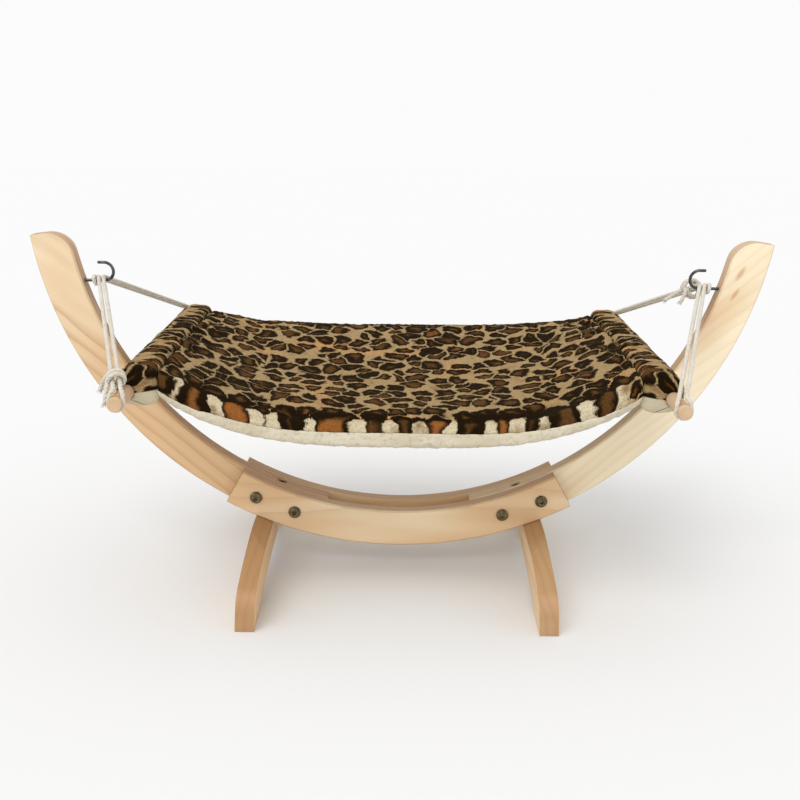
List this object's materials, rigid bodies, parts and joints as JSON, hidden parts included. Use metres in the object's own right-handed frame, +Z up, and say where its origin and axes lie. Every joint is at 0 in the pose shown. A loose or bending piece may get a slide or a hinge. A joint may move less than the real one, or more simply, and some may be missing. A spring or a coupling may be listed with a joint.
{
  "type": "cat hammock",
  "caption": "Free-standing cat hammock: a padded plush mat on dowels, slung by cords from screw hooks in the arms of an arched wooden stand on cross legs.",
  "frame": {"origin": "on the floor under the middle of the stand", "axes": "+X along the stand to the right arm, +Y from front to back, +Z up"},
  "size_m": [0.7288, 0.37, 0.347],
  "materials": {
    "pine": "sanded and clear lacquered",
    "dowel_wood": "sanded, bare",
    "bolt_metal": "dark bronze plating",
    "hook_steel": "dark plated wire",
    "print_plush": "short plush with spotted animal print",
    "cream_lining": "cream fleece",
    "cotton_cord": "twisted cotton"
  },
  "bodies": {
    "stand": {"left_arm": "pine", "right_arm": "pine", "front_rail": "pine", "rear_rail": "pine", "left_leg": "pine", "right_leg": "pine", "rail_bolts": "bolt_metal", "rail_nuts": "bolt_metal", "leg_bolts": "bolt_metal", "leg_inserts": "bolt_metal", "left_hook": "hook_steel", "right_hook": "hook_steel"},
    "bed": {"left_dowel": "dowel_wood", "right_dowel": "dowel_wood", "left_sleeve": "print_plush", "right_sleeve": "print_plush", "mat_top": "print_plush", "mat_lining": "cream_lining", "left_cord": "cotton_cord", "right_cord": "cotton_cord", "left_knot": "cotton_cord", "right_knot": "cotton_cord"}
  },
  "joints": [
    {"name": "bed_swing", "type": "hinge", "parent": "stand", "child": "bed", "pos_m": [0, 0, 0.3], "axis": [1, 0, 0], "range_deg": [-25, 25]}
  ]
}
